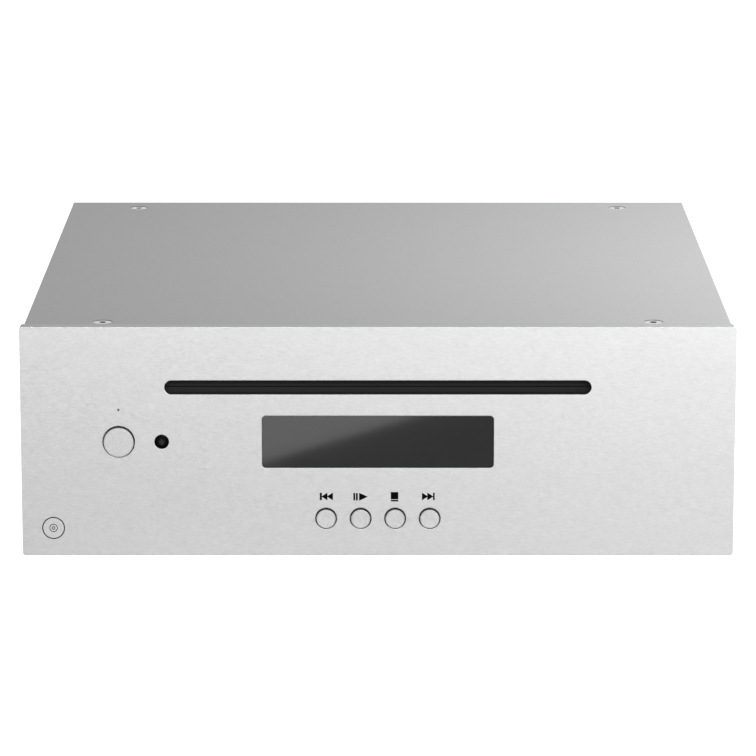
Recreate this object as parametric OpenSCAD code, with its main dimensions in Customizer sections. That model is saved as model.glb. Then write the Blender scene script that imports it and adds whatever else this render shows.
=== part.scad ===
// Compact slot-loading CD player: case, front controls, boards, sockets and disc loader.
// Frame: X to the right, Y from front to back, Z up, origin under the middle of the whole object.
// Inside the modules, y counts from the front face of the front panel, through in_case().

/* [Case] */
// Width of the front panel
panel_w = 206; // [200:0.5:240]
// Height of the front panel
panel_h = 67.5; // [67:0.5:70]
// Thickness of the front panel
panel_t = 4.5; // [4.5:0.1:5]
// Corner radius of the front panel
panel_r = 0.8; // [0.5:0.1:3]
// Distance from the front face to the back of the case
case_d = 210; // [210:1:240]
// How far the front panel stands proud of each side of the cover
panel_lip = 1.2; // [0.5:0.1:2]
// Wall thickness of the top cover
cover_t = 2; // [1.6:0.1:2]
// Sheet thickness of the chassis tray and the rear panel
sheet_t = 1.5; // [1.2:0.1:1.5]
// Height of the feet
foot_h = 4.5; // [4:0.1:8]
// Radius of the feet
foot_r = 9; // [6:0.5:10]

/* [Front panel] */
// Length of the disc slot
slot_w = 123; // [122:0.5:126]
// Height of the disc slot
slot_h = 4.16; // [4.1:0.02:4.4]
// Height of the slot's middle above the panel's bottom edge
slot_z = 49.75; // [49.75:0.05:50.5]
// Width of the display window
window_w = 67; // [60:0.5:70]
// Height of the display window
window_h = 15.44; // [14:0.02:16]
// Height of the window's middle above the panel's bottom edge
window_z = 33.68; // [33:0.02:34]
// Diameter of the hole for the power button
power_hole_d = 9.35; // [9:0.05:10]
// Diameter of the power button
power_d = 8.7; // [8:0.05:8.9]
// Distance from the middle of the panel to the power button
power_x = 74.8; // [72:0.1:76]
// Height of the power button above the panel's bottom edge
power_z = 33.7; // [30:0.1:36]
// Diameter of the holes for the transport buttons
key_hole_d = 6.3; // [6:0.05:6.5]
// Diameter of the transport buttons
key_d = 5.6; // [5:0.05:5.8]
// Spacing of the transport buttons
key_pitch = 10; // [9:0.1:12]
// Height of the transport buttons above the panel's bottom edge
key_z = 10.95; // [10:0.05:12]
// How far the power button stands out of the panel
power_proud = 1.2; // [0.8:0.1:1.5]
// How far the transport buttons stand out of the panel
key_proud = 1; // [0.6:0.1:1.2]
// Distance from the middle of the panel to the remote control window
remote_x = 62.4; // [60:0.1:64]
// Diameter of the remote control window
remote_d = 4.2; // [4:0.1:5]
// Height of the pilot light above the panel's bottom edge
pilot_z = 43.1; // [42:0.1:43.5]
// Diameter of the pilot light's pinhole
pilot_d = 0.6; // [0.5:0.1:1]

/* [Top cover screws] */
// Distance between the screws from left to right
screw_dx = 159; // [150:1:165]
// Distance of the front screws from the front face
screw_front_y = 7.7; // [7.5:0.1:9]
// Distance of the rear screws from the front face
screw_rear_y = 199.7; // [198:0.1:201]
// Radius of the countersunk screw heads
screw_head_r = 2.7; // [2.6:0.1:2.8]

/* [Rear sockets] */
// How far the phono sockets stand out behind the case
socket_out = 9.6; // [9:0.1:10]
// Outer radius of a phono socket's sleeve
sleeve_r = 4.15; // [4.1:0.01:4.2]
// Height of the phono sockets' axis above the floor
socket_z = 24; // [24:0.5:26]
// Distance from the middle of the case to the power inlet
inlet_x = 72; // [70:1:74]

/* [Disc loader] */
// Distance from the front face to the middle of a loaded disc
disc_y = 76; // [76:0.5:77]
// Thickness of a disc
disc_t = 1.2; // [1.2:0.05:1.25]
// How far the traverse rises to take the disc
lift_h = 4.5; // [4:0.1:4.5]
// How far the cam slider moves
cam_travel = 12; // [11:0.5:12]
// Travel of the pickup along the disc's radius
sled_travel = 36; // [34:0.5:36]

/* [Detail] */
// Number of segments in a circle
segments = 64; // [32:8:96]

/* [Hidden] */
$fn = segments;
eps = 0.01;
fit = 0.05;

// Case: heights and depths
front_y = (power_proud - case_d - socket_out) / 2;
base_z = foot_h;
top_z = base_z + panel_h;
cover_x = panel_w / 2 - panel_lip;
inner_x = cover_x - cover_t;
inner_z = top_z - cover_t;
tray_x = inner_x - 0.2;
floor_z = base_z + sheet_t;
wall_y = panel_t + sheet_t;
rear_y = case_d - sheet_t;
lip_y = rear_y - sheet_t;
tray_side_h = 15;
rear_lip_h = 9;
tab_w = 24;
tab_d = 10;
foot_x = 80;
foot_front_y = 32;
foot_rear_y = 188;

// M3 and M2.5 screws
screw_sunk = 0.1;
m3_r = 1.45;
m3_hole_r = 1.5;
m3_head_r = 2.75;
m3_head_h = 1.8;
m25_r = 1.2;
m25_hole_r = 1.25;
m25_clear_r = 1.4;
m25_head_r = 2.2;
m25_head_h = 1.5;
hex_r = 1.15;
stud_r = 2.5;

// Front panel: pockets behind the face
skin_t = 0.6;
pocket_w = 131;
pocket_h = 9;
rim_w = 126;
rim_h = 7.6;
rim_t = 0.3;
window_r = 1.2;
window_t = 2;
window_rim = 2;
cap_rim_t = 0.8;
key_rim = 1.1;
power_travel = 0.8;
panel_screw_x = 92;
panel_screw_low = 14;
panel_screw_high = 62;

// Front board
board_y = 10.4;
board_t = 1.6;
front_board_x = 85;
front_board_low = 8;
front_board_high = 49;
front_stud_x = 81.5;
front_stud_low = 12;
front_stud_high = 45.5;
switch_side = 6;
switch_y = 7;
stem_in = 0.9;

// Boards on the floor
deck_board_z = 12;
board_top_z = deck_board_z + board_t;
main_board_x = 92;
main_board_front = 156;
main_board_rear = 206;
main_studs = [[-88, 160], [88, 160], [-88, 202], [88, 202]];
servo_board_x = 50;
servo_board_front = 30;
servo_board_rear = 140;
servo_studs = [[-46, 34], [46, 34], [-46, 136], [46, 136]];
cable_t = 0.5;
cable_w = 14;
front_cable_x = -60;
servo_cable_x = 27;
cable_front_z = 12.25;
main_plug_y = 158;
servo_plug_y = 130;

// Phono sockets: two line outputs and one digital output
phono_x = [-66, -50, -24];
sleeve_t = 0.65;
insert_hole_r = 1.6;
socket_flange_r = 6.2;
housing_y = 196;
inlet_z = socket_z - 2;
inlet_collar_r = 4.5;
rear_screw_x = [-88, -34, 34, 88];
rear_screw_z = 10;

// Disc plane and loader frame
disc_z = base_z + slot_z;
disc_under = disc_z - disc_t / 2;
disc_over = disc_z + disc_t / 2;
plate_x = 66;
plate_t = 1.2;
plate_out = plate_x + plate_t;
frame_front = 14.5;
frame_rear = 151.2;
frame_low = 23;
frame_high = 57.2;
ear_x = 74.5;
ear_y = [38, 132];
ear_w = 14;
ear_hole_r = 4;
grommet_r = 6.5;
grommet_h = 2.2;
pillar_r = 4;
guide_t = 1.2;

// Gears: shape of the teeth
pressure_angle = 20;
addendum = 0.8;
dedendum = 1.1;
tooth_slack = 0.08;

// Feed roller and its arm
roller_y = 19.5;
roller_big_r = 4.2;
roller_small_r = 3.4;
roller_z = disc_under - roller_big_r;
shaft_r = 1.5;
arm_dy = 12.4;
arm_dz = -4.5;
arm_y = roller_y + arm_dy;
arm_z = roller_z + arm_dz;
arm_x = 60.5;
arm_t = 1.5;
arm_r = 3.5;
train_m = 2 * norm([arm_dy, arm_dz]) / 44;
roller_teeth = 20;
drive_teeth = 24;
train_x = 62.4;
train_w = 3;
train_angle = atan2(-arm_dz, -arm_dy);
hub_r = 4;

// Belt drive
belt_x = 70.25;
belt_w = 1.2;
belt_t = 1;
pulley_x = 69.5;
flange_t = 0.7;
pulley_r = 8;
small_pulley_r = 2.2;
motor_y = 52;
motor_z = 30.5;
motor_r = 7.5;
motor_l = 20;
motor_shaft_r = 0.75;

// Cam slider and its drive
slider_x = 67.5;
slider_t = 1.2;
slider_low = 34.6;
slider_high = 50;
slider_front = 50;
slider_rear = 153.7;
pin_r = 1.5;
pin_y = [70, 120];
pin_z = 40;
pin_out = 69.2;
stud_path = [[100, 46.6], [140, 44]];
gear_m = 0.5;
gear_pitch = PI * gear_m;
small_teeth = 14;
lift_teeth = 40;
small_r = gear_m * small_teeth / 2;
lift_r = gear_m * lift_teeth / 2;
lift_motor_y = 100;
lift_gear_y = lift_motor_y - small_r - lift_r;
rack_z = motor_z + small_r;

// Traverse, turntable and pickup
deck_low = 40.5;
deck_t = 2;
deck_top = deck_low + deck_t;
deck_x = 57;
deck_front = 52;
deck_rear = 148;
turntable_z = disc_under - lift_h;
turntable_r = 15;
hub_cone_h = 2.05;
spindle_r = 0.75;
can_r = 10;
can_h = 4.3;
lens_y = disc_y + 22;
sled_half = 9;
sled_x = 13;
sled_low = 35;
sled_high = 45;
rod_x_at = 20;
rod_z_at = 38;
rod_r = 1.5;
rod_front = 83;
rod_rear = 147.5;
sled_gear_x = 31;
sled_teeth = 16;
wheel_teeth = 44;
sled_pinion_r = gear_m * sled_teeth / 2;
wheel_r = gear_m * wheel_teeth / 2;
sled_motor_x = sled_gear_x + wheel_r + small_r;
sled_rack_x = sled_gear_x - sled_pinion_r;

// Clamp
clamp_axis_y = 142;
clamp_axis_z = 60.4;
clamp_arm_t = 1.6;
clamp_low = 56.5;
clamp_r = 14;

// ---- Shared shapes ----

// Moves a piece from the front panel's frame into the object's frame
module in_case() translate([0, front_y, 0]) children();

// A box given by its lowest and highest corners
module block(low, high) translate(low) cube(high - low);

// A flat outline in X and Z, made solid between two depths
module slab_y(y0, y1) translate([0, y1, 0]) rotate([90, 0, 0]) linear_extrude(y1 - y0) children();

// A flat outline in Y and Z, made solid between two places along X
module slab_x(x0, x1) translate([x0, 0, 0]) rotate([90, 0, 90]) linear_extrude(x1 - x0) children();

module rod_along_x(r, x0, x1, y, z) translate([x0, y, z]) rotate([0, 90, 0]) cylinder(r = r, h = x1 - x0);

module rod_along_y(r, y0, y1, x, z) translate([x, y0, z]) rotate([-90, 0, 0]) cylinder(r = r, h = y1 - y0);

module rod_along_z(r, z0, z1, x, y) translate([x, y, z0]) cylinder(r = r, h = z1 - z0);

module rounded_rect(w, h, r) {
    square([w - 2 * r, h], center = true);
    square([w, h - 2 * r], center = true);
    for (sx = [-1, 1], sy = [-1, 1])
        translate([sx * (w / 2 - r), sy * (h / 2 - r)]) circle(r);
}

module stadium(w, h) {
    square([w - h, h], center = true);
    for (side = [-1, 1]) translate([side * (w - h) / 2, 0]) circle(h / 2);
}

// Points of an arc round a centre, from one angle to another
function arc(centre, r, start, end) =
    [for (i = [0 : segments / 2])
        let (a = start + (end - start) * 2 * i / segments)
        centre + r * [cos(a), sin(a)]];

// A bar with round ends from point a to point b
module round_bar(a, b, r) {
    way = atan2(b.y - a.y, b.x - a.x);
    polygon(concat(arc(a, r, way + 90, way + 270), arc(b, r, way - 90, way + 90)));
}

function involute(a) = tan(a) * 180 / PI - a;

// Half the angle that a tooth takes up at radius r
function half_tooth(teeth, m, r) =
    let (pitch_r = m * teeth / 2)
    let (a = acos(min(1, pitch_r * cos(pressure_angle) / r)))
    90 / teeth - tooth_slack / (2 * pitch_r) * 180 / PI + involute(pressure_angle) - involute(a);

function tooth_radii(teeth, m) =
    let (pitch_r = m * teeth / 2, base_r = pitch_r * cos(pressure_angle))
    let (root_r = pitch_r - dedendum * m, tip_r = pitch_r + addendum * m)
    let (start_r = max(base_r, root_r))
    concat(root_r < base_r ? [root_r] : [], [start_r, (start_r + tip_r) / 2, tip_r]);

// A spur gear's outline, with the middle of its first tooth along +X
module gear_outline(teeth, m) {
    radii = tooth_radii(teeth, m);
    last = len(radii) - 1;
    polygon([
        for (i = [0 : teeth - 1])
            let (middle = 360 * i / teeth)
            each concat(
                [for (k = [0 : last]) let (a = middle - half_tooth(teeth, m, radii[k]))
                    radii[k] * [cos(a), sin(a)]],
                [for (k = [last : -1 : 0]) let (a = middle + half_tooth(teeth, m, radii[k]))
                    radii[k] * [cos(a), sin(a)]]
            )
    ]);
}

// A rack's outline: teeth along X that point to +Y, with the pitch line on the X axis
module rack_outline(first, last, depth) {
    tip = addendum * gear_m;
    root = -dedendum * gear_m;
    function half(h) = gear_pitch / 4 - tooth_slack / 2 - h * tan(pressure_angle);
    polygon(concat(
        [[(first - 0.5) * gear_pitch, -depth], [(first - 0.5) * gear_pitch, root]],
        [for (i = [first : last]) each [
            [i * gear_pitch - half(root), root], [i * gear_pitch - half(tip), tip],
            [i * gear_pitch + half(tip), tip], [i * gear_pitch + half(root), root]
        ]],
        [[(last + 0.5) * gear_pitch, root], [(last + 0.5) * gear_pitch, -depth]]
    ));
}

// A loop round two circles, such as a belt's inner or outer edge
module belt_outline(a, ra, b, rb) {
    way = atan2(b.y - a.y, b.x - a.x);
    lean = acos((ra - rb) / norm(b - a));
    polygon(concat(arc(a, ra, way + lean, way + 360 - lean), arc(b, rb, way - lean, way + lean)));
}

// ---- Case ----

module front_panel() {
    color("#dcdcdc") in_case() difference() {
        translate([0, 0, base_z + panel_h / 2]) slab_y(0, panel_t) rounded_rect(panel_w, panel_h, panel_r);
        translate([0, 0, disc_z]) {
            slab_y(-1, panel_t) stadium(slot_w, slot_h);
            slab_y(skin_t, panel_t + 1) rounded_rect(pocket_w, pocket_h, 2);
        }
        translate([0, 0, base_z + window_z]) {
            slab_y(-1, panel_t) rounded_rect(window_w, window_h, window_r);
            slab_y(window_t, panel_t + 1)
                rounded_rect(window_w + 2 * window_rim, window_h + 2 * window_rim, window_r);
        }
        rod_along_y(power_hole_d / 2, -1, panel_t + 1, -power_x, base_z + power_z);
        for (i = [0 : 3]) rod_along_y(key_hole_d / 2, -1, panel_t + 1, key_x(i), base_z + key_z);
        rod_along_y(remote_d / 2, -1, panel_t + 1, -remote_x, base_z + power_z);
        rod_along_y(remote_d / 2 + 1, 3, panel_t + 1, -remote_x, base_z + power_z);
        rod_along_y(pilot_d / 2, -1, panel_t + 1, -power_x, base_z + pilot_z);
        rod_along_y(1, 1.2, panel_t + 1, -power_x, base_z + pilot_z);
        at_panel_screws() rod_along_y(m3_hole_r, 1.3, panel_t + 1, 0, 0);
    }
}

function key_x(i) = (i - 1.5) * key_pitch;

module at_panel_screws() {
    for (side = [-1, 1], z = [panel_screw_low, panel_screw_high])
        translate([side * panel_screw_x, 0, z]) children();
}

module at_cover_screws() {
    for (side = [-1, 1], y = [screw_front_y, screw_rear_y])
        translate([side * screw_dx / 2, y, 0]) children();
}

module top_cover() {
    sink_r = screw_head_r + screw_sunk + fit;
    color("#b4b4b4") in_case() difference() {
        block([-cover_x, panel_t, base_z], [cover_x, case_d, top_z]);
        block([-inner_x, panel_t - 1, base_z - 1], [inner_x, case_d + 1, inner_z]);
        at_cover_screws() {
            rod_along_z(m3_hole_r + 0.1, inner_z - 1, top_z + 1, 0, 0);
            translate([0, 0, top_z - sink_r + m3_hole_r])
                cylinder(r1 = m3_hole_r, r2 = sink_r, h = sink_r - m3_hole_r);
        }
    }
}

module cover_screws() {
    color("#d0d0d0") in_case() at_cover_screws() difference() {
        union() {
            translate([0, 0, top_z - screw_sunk - screw_head_r + m3_r])
                cylinder(r1 = m3_r, r2 = screw_head_r, h = screw_head_r - m3_r);
            rod_along_z(m3_r, inner_z - 6, top_z - 1, 0, 0);
        }
        translate([0, 0, top_z - screw_sunk - 1]) cylinder(r = hex_r, h = 2, $fn = 6);
    }
}

module tray_holes() {
    module_hole = [74, 21.6];
    power_rim_r = 6.2;
    key_rim_r = 4.4;
    remote_rim_r = 3;
    pilot_rim_r = 1.4;
    for (side = [-1, 1], y = [foot_front_y, foot_rear_y])
        rod_along_z(stud_r, base_z - 1, floor_z + 1, side * foot_x, y);
    for (x = rear_screw_x) rod_along_y(m3_hole_r, lip_y - 1, rear_y + 1, x, rear_screw_z);
    for (p = concat(main_studs, servo_studs))
        rod_along_z(m25_hole_r, floor_z + 1, deck_board_z + 1, p.x, p.y);
    for (side = [-1, 1]) rod_along_z(m3_hole_r, inner_z - 4, top_z, side * screw_dx / 2, screw_front_y);
    at_panel_screws() rod_along_y(m3_hole_r + 0.2, panel_t - 1, wall_y + 1, 0, 0);
    translate([0, 0, disc_z]) slab_y(panel_t - 1, wall_y + 1) rounded_rect(rim_w + 1, rim_h + 0.4, 2);
    translate([0, 0, base_z + window_z]) slab_y(panel_t - 1, wall_y + 1)
        rounded_rect(module_hole.x, module_hole.y, 1.5);
    rod_along_y(power_rim_r, panel_t - 1, wall_y + 1, -power_x, base_z + power_z);
    for (i = [0 : 3]) rod_along_y(key_rim_r, panel_t - 1, wall_y + 1, key_x(i), base_z + key_z);
    rod_along_y(remote_rim_r, panel_t - 1, wall_y + 1, -remote_x, base_z + power_z);
    rod_along_y(pilot_rim_r, panel_t - 1, wall_y + 1, -power_x, base_z + pilot_z);
    for (side = [-1, 1], z = [front_stud_low, front_stud_high])
        rod_along_y(m25_hole_r, wall_y + 0.5, board_y + 1, side * front_stud_x, z);
}

module chassis_tray() {
    color("#9a9c9e") in_case() difference() {
        union() {
            block([-tray_x, panel_t, base_z], [tray_x, rear_y, floor_z]);
            for (side = [-1, 1]) {
                wall_x = side > 0 ? tray_x - sheet_t : -tray_x;
                block([wall_x, panel_t, base_z], [wall_x + sheet_t, lip_y, base_z + tray_side_h]);
                block([side * screw_dx / 2 - tab_w / 2, panel_t, inner_z - sheet_t],
                    [side * screw_dx / 2 + tab_w / 2, panel_t + tab_d, inner_z]);
                for (z = [front_stud_low, front_stud_high])
                    rod_along_y(stud_r, panel_t, board_y, side * front_stud_x, z);
                rod_along_z(stud_r, inner_z - 3, inner_z, side * screw_dx / 2, screw_front_y);
            }
            block([-tray_x, panel_t, base_z], [tray_x, wall_y, inner_z]);
            block([-tray_x, lip_y, base_z], [tray_x, rear_y, base_z + rear_lip_h]);
            for (p = concat(main_studs, servo_studs)) rod_along_z(stud_r, base_z, deck_board_z, p.x, p.y);
        }
        tray_holes();
    }
}

module rear_panel() {
    color("#8c8e90") in_case() difference() {
        union() {
            block([-tray_x, rear_y, base_z], [tray_x, case_d, inner_z]);
            for (side = [-1, 1]) {
                block([side * screw_dx / 2 - tab_w / 2, case_d - 2 * tab_d + 4, inner_z - sheet_t],
                    [side * screw_dx / 2 + tab_w / 2, case_d, inner_z]);
                rod_along_z(stud_r, inner_z - 3, inner_z, side * screw_dx / 2, screw_rear_y);
            }
        }
        for (side = [-1, 1]) rod_along_z(m3_hole_r, inner_z - 4, top_z, side * screw_dx / 2, screw_rear_y);
        for (x = rear_screw_x) rod_along_y(m3_hole_r + 0.2, rear_y - 1, case_d + 1, x, rear_screw_z);
        for (x = phono_x) rod_along_y(sleeve_r + 0.15, rear_y - 1, case_d + 1, x, socket_z);
        rod_along_y(inlet_collar_r + 0.2, rear_y - 1, case_d + 1, inlet_x, inlet_z);
    }
}

// A pan head screw along Y, with its head's seat at y = 0 and its shank towards -Y
module pan_screw(r, head_r, head_h, length) {
    difference() {
        union() {
            rod_along_y(r, -length, eps, 0, 0);
            rod_along_y(head_r, 0, head_h, 0, 0);
        }
        translate([0, head_h - 1, 0]) rotate([-90, 0, 0]) cylinder(r = hex_r, h = 2, $fn = 6);
    }
}

module case_screws() {
    color("#b8b8b8") in_case() {
        at_panel_screws() translate([0, wall_y, 0]) pan_screw(m3_r, m3_head_r, m3_head_h, 4.4);
        for (x = rear_screw_x)
            translate([x, case_d, rear_screw_z]) pan_screw(m3_r, m3_head_r, m3_head_h, 5);
    }
}

// Push-in rubber feet, each with a barb above the tray's floor
module feet() {
    color("#202020") in_case() for (side = [-1, 1], y = [foot_front_y, foot_rear_y])
        translate([side * foot_x, y, 0]) rotate_extrude() polygon([
            [0, 0], [foot_r - 1.2, 0], [foot_r - 0.6, 0.4], [foot_r, foot_h - 0.6], [foot_r - 0.4, foot_h],
            [stud_r - fit, foot_h], [stud_r - fit, floor_z + fit], [stud_r + 0.7, floor_z + fit],
            [stud_r - 0.4, floor_z + 1.5], [0, floor_z + 1.5]
        ]);
}

// ---- Front controls ----

module slot_liner() {
    play = 2 * fit;
    color("#181818") in_case() translate([0, 0, disc_z]) difference() {
        union() {
            slab_y(skin_t + fit, panel_t) rounded_rect(pocket_w - play, pocket_h - play, 2 - fit);
            slab_y(panel_t - eps, panel_t + rim_t) rounded_rect(rim_w, rim_h, 1.5);
        }
        slab_y(0, panel_t + 1) stadium(slot_w + 0.4, slot_h + 0.4);
    }
}

// Two felt strips behind the slot that part as a disc goes through
module dust_lips() {
    felt_y = panel_t + rim_t;
    felt_t = 0.8;
    felt_w = rim_w - 1;
    felt_h = rim_h - 0.4;
    part_z = disc_under - 0.1;
    part_gap = 0.3;
    color("#202020") in_case() {
        block([-felt_w / 2, felt_y, disc_z - felt_h / 2],
            [felt_w / 2, felt_y + felt_t, part_z - part_gap / 2]);
        block([-felt_w / 2, felt_y, part_z + part_gap / 2],
            [felt_w / 2, felt_y + felt_t, disc_z + felt_h / 2]);
    }
}

module display_window() {
    play = 2 * fit;
    rim = 2 * window_rim - play;
    color("#101214") in_case() translate([0, 0, base_z + window_z]) {
        slab_y(0, window_t + 1) rounded_rect(window_w - play, window_h - play, window_r - fit);
        slab_y(window_t + fit, window_t + 2) rounded_rect(window_w + rim, window_h + rim, window_r);
    }
}

module display_module() {
    color("#26302e") in_case() translate([0, 0, base_z + window_z]) {
        slab_y(wall_y + 0.2, board_y - 1) rounded_rect(72, 20.2, 0.8);
        slab_y(board_y - 1 - eps, board_y) rounded_rect(66, 12, 0.8);
    }
}

// A turned button: face, rim behind the panel, and a stem into its switch
module button(r, proud, rim_r, stem_r, stem_end) {
    chamfer = 0.25;
    color("#d8d8d8") in_case() rotate([-90, 0, 0]) rotate_extrude() polygon([
        [0, -proud], [r - chamfer, -proud], [r, chamfer - proud],
        [r, panel_t + 0.1], [rim_r, panel_t + 0.1], [rim_r, panel_t + 0.1 + cap_rim_t],
        [stem_r, panel_t + 0.1 + cap_rim_t], [stem_r, stem_end], [0, stem_end]
    ]);
}

module transport_button(i) {
    translate([key_x(i), 0, base_z + key_z])
        button(key_d / 2, key_proud, key_d / 2 + key_rim, 1, switch_y + stem_in);
}

module power_button() {
    translate([-power_x, 0, base_z + power_z])
        button(power_d / 2, power_proud, power_d / 2 + 1.3, 1, switch_y + stem_in);
}

module previous_button() transport_button(0);

module play_pause_button() transport_button(1);

module stop_button() transport_button(2);

module next_button() transport_button(3);

// Push switches on the front board; each button's stem works the dome inside
module button_switches() {
    places = concat([[-power_x, power_z]], [for (i = [0 : 3]) [key_x(i), key_z]]);
    color("#2c2c2c") in_case() for (p = places)
        translate([p.x, 0, base_z + p.y]) difference() {
            slab_y(switch_y, board_y) square(switch_side, center = true);
            rod_along_y(1.1, switch_y - 1, switch_y + stem_in + power_travel + 0.3, 0, 0);
        }
}

module ir_window() {
    lens_r = remote_d / 2 - fit;
    color("#141414") in_case() translate([-remote_x, 0, base_z + power_z])
    rotate([-90, 0, 0]) rotate_extrude() {
        polygon([[0, 0], [lens_r, 0], [lens_r, 3 + fit], [lens_r + 0.9, 3 + fit],
            [lens_r + 0.9, panel_t - fit], [0, panel_t - fit]]);
        intersection() {
            translate([0, 7.2]) circle(7.5);
            translate([0, -1]) square([lens_r, 1.1]);
        }
    }
}

module light_pipe() {
    color("#303030") in_case() {
        rod_along_y(pilot_d / 2 - 0.03, 0.05, 2, -power_x, base_z + pilot_z);
        rod_along_y(0.9, 1.3, board_y - 1, -power_x, base_z + pilot_z);
        rod_along_y(1.2, board_y - 1 - eps, board_y, -power_x, base_z + pilot_z);
    }
}

module ir_receiver() {
    color("#1a1a1a") in_case() translate([-remote_x, 0, base_z + power_z]) {
        slab_y(wall_y + 1.8, board_y) square([6, 5.4], center = true);
        rod_along_y(1.8, wall_y + 0.4, wall_y + 2, 0, 0);
    }
}

module front_board() {
    color("#1e5a38") in_case() difference() {
        block([-front_board_x, board_y, front_board_low],
            [front_board_x, board_y + board_t, front_board_high]);
        for (side = [-1, 1], z = [front_stud_low, front_stud_high])
            rod_along_y(m25_clear_r, board_y - 1, board_y + board_t + 1, side * front_stud_x, z);
    }
}

// ---- Boards and sockets ----

module floor_board(x, y0, y1, studs) {
    difference() {
        block([-x, y0, deck_board_z], [x, y1, board_top_z]);
        for (p = studs) rod_along_z(m25_clear_r, deck_board_z - 1, board_top_z + 1, p.x, p.y);
    }
}

module main_board() color("#1e5a38") in_case()
    floor_board(main_board_x, main_board_front, main_board_rear, main_studs);

module servo_board() color("#1e5a38") in_case()
    floor_board(servo_board_x, servo_board_front, servo_board_rear, servo_studs);

module board_screws() {
    color("#c4c4c4") in_case() {
        for (p = concat(main_studs, servo_studs))
            translate([p.x, p.y, board_top_z]) rotate([90, 0, 0])
                pan_screw(m25_r, m25_head_r, m25_head_h, 5);
        for (side = [-1, 1], z = [front_stud_low, front_stud_high])
            translate([side * front_stud_x, board_y + board_t, z])
                pan_screw(m25_r, m25_head_r, m25_head_h, 4.5);
    }
}

// Cable sockets: body half as wide as connector_x, with a slot that the flat cable's end goes into
module board_connectors() {
    connector_x = 8;
    connector_y = 5;
    connector_z = 4;
    slot_x = cable_w / 2 + 0.1;
    slot_low = 2.2;
    slot_high = 2.8;
    front_back = board_y + board_t;
    front_low = 9.5;
    color("#e6e2d4") in_case() {
        difference() {
            block([front_cable_x - connector_x, front_back, front_low],
                [front_cable_x + connector_x, front_back + connector_z, front_low + connector_y + 1]);
            block([front_cable_x - slot_x, front_back + 2, cable_front_z - fit],
                [front_cable_x + slot_x, front_back + connector_z + 1, cable_front_z + cable_t + fit]);
        }
        for (x = [front_cable_x, servo_cable_x]) difference() {
            block([x - connector_x, main_plug_y, board_top_z],
                [x + connector_x, main_plug_y + connector_y, board_top_z + connector_z]);
            block([x - slot_x, main_plug_y - 1, board_top_z + slot_low],
                [x + slot_x, main_plug_y + 3.2, board_top_z + slot_high]);
        }
        difference() {
            block([servo_cable_x - connector_x, servo_plug_y, board_top_z],
                [servo_cable_x + connector_x, servo_plug_y + connector_y, board_top_z + connector_z]);
            block([servo_cable_x - slot_x, servo_plug_y + 2, board_top_z + slot_low],
                [servo_cable_x + slot_x, servo_plug_y + connector_y + 1, board_top_z + slot_high]);
        }
    }
}

// Flat cables: front board to main board along the floor, and servo board to main board
module ribbon_cables() {
    plug_y = board_y + board_t + 2.1;
    plug_z = cable_front_z;
    end_y = main_plug_y + 3;
    end_z = board_top_z + 2.25;
    drop_y = 18;
    rise_y = main_plug_y - 5;
    low_z = floor_z + 0.3;
    t = cable_t;
    color("#c8c8c4") in_case() {
        translate([front_cable_x - cable_w / 2, 0, 0]) slab_x(0, cable_w) polygon([
            [plug_y, plug_z], [drop_y, plug_z], [drop_y, low_z], [rise_y, low_z], [rise_y, end_z],
            [end_y, end_z], [end_y, end_z + t], [rise_y - t, end_z + t], [rise_y - t, low_z + t],
            [drop_y + t, low_z + t], [drop_y + t, plug_z + t], [plug_y, plug_z + t]
        ]);
        block([servo_cable_x - cable_w / 2, servo_plug_y + 2.2, end_z],
            [servo_cable_x + cable_w / 2, end_y, end_z + t]);
    }
}

module socket_housing() {
    side = 8;
    spans = [[phono_x[0] - side, phono_x[1] + side], [phono_x[2] - side, phono_x[2] + side]];
    color("#1c1c1c") in_case() for (span = spans)
        difference() {
            block([span[0], housing_y, board_top_z], [span[1], rear_y - 0.2, socket_z + side]);
            for (x = phono_x) rod_along_y(sleeve_r + fit, housing_y + 5, case_d, x, socket_z);
        }
}

module socket_sleeves() {
    color("#c9a24a") in_case() for (x = phono_x) translate([x, 0, socket_z]) rotate([-90, 0, 0])
        rotate_extrude() polygon([
            [sleeve_r - sleeve_t, housing_y + 5.2], [sleeve_r, housing_y + 5.2], [sleeve_r, case_d + fit],
            [socket_flange_r, case_d + fit], [socket_flange_r, case_d + 1], [sleeve_r, case_d + 1],
            [sleeve_r, case_d + socket_out], [sleeve_r - sleeve_t, case_d + socket_out]
        ]);
}

module socket_inserts() {
    color("#e8e8e8") in_case() for (x = phono_x) difference() {
        rod_along_y(sleeve_r - sleeve_t - 0.02, housing_y + 5.2, case_d + socket_out - 1, x, socket_z);
        rod_along_y(insert_hole_r, housing_y + 7, case_d + socket_out, x, socket_z);
    }
}

// Barrel jack: a body on the board, a collar through the rear panel, and a pin in its bore
module power_inlet() {
    half_w = 6.5;
    bore_r = 2.9;
    bore_y = housing_y + 4;
    color("#1c1c1c") in_case() {
        difference() {
            union() {
                block([inlet_x - half_w, housing_y, board_top_z],
                    [inlet_x + half_w, rear_y - 0.2, inlet_z + half_w - 0.5]);
                rod_along_y(inlet_collar_r, rear_y - 1, case_d + 0.6, inlet_x, inlet_z);
            }
            rod_along_y(bore_r, bore_y, case_d + 1, inlet_x, inlet_z);
        }
        rod_along_y(1, bore_y - eps, case_d - 0.4, inlet_x, inlet_z);
    }
}

module filter_capacitors() {
    small = [4, 11];
    large = [5, 14];
    small_places = [[42, 170], [52, 170], [42, 181], [52, 181]];
    large_places = [[8, 184], [22, 184]];
    color("#28324a") in_case() {
        for (p = small_places) rod_along_z(small[0], board_top_z, board_top_z + small[1], p.x, p.y);
        for (p = large_places) rod_along_z(large[0], board_top_z, board_top_z + large[1], p.x, p.y);
    }
}

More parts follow.
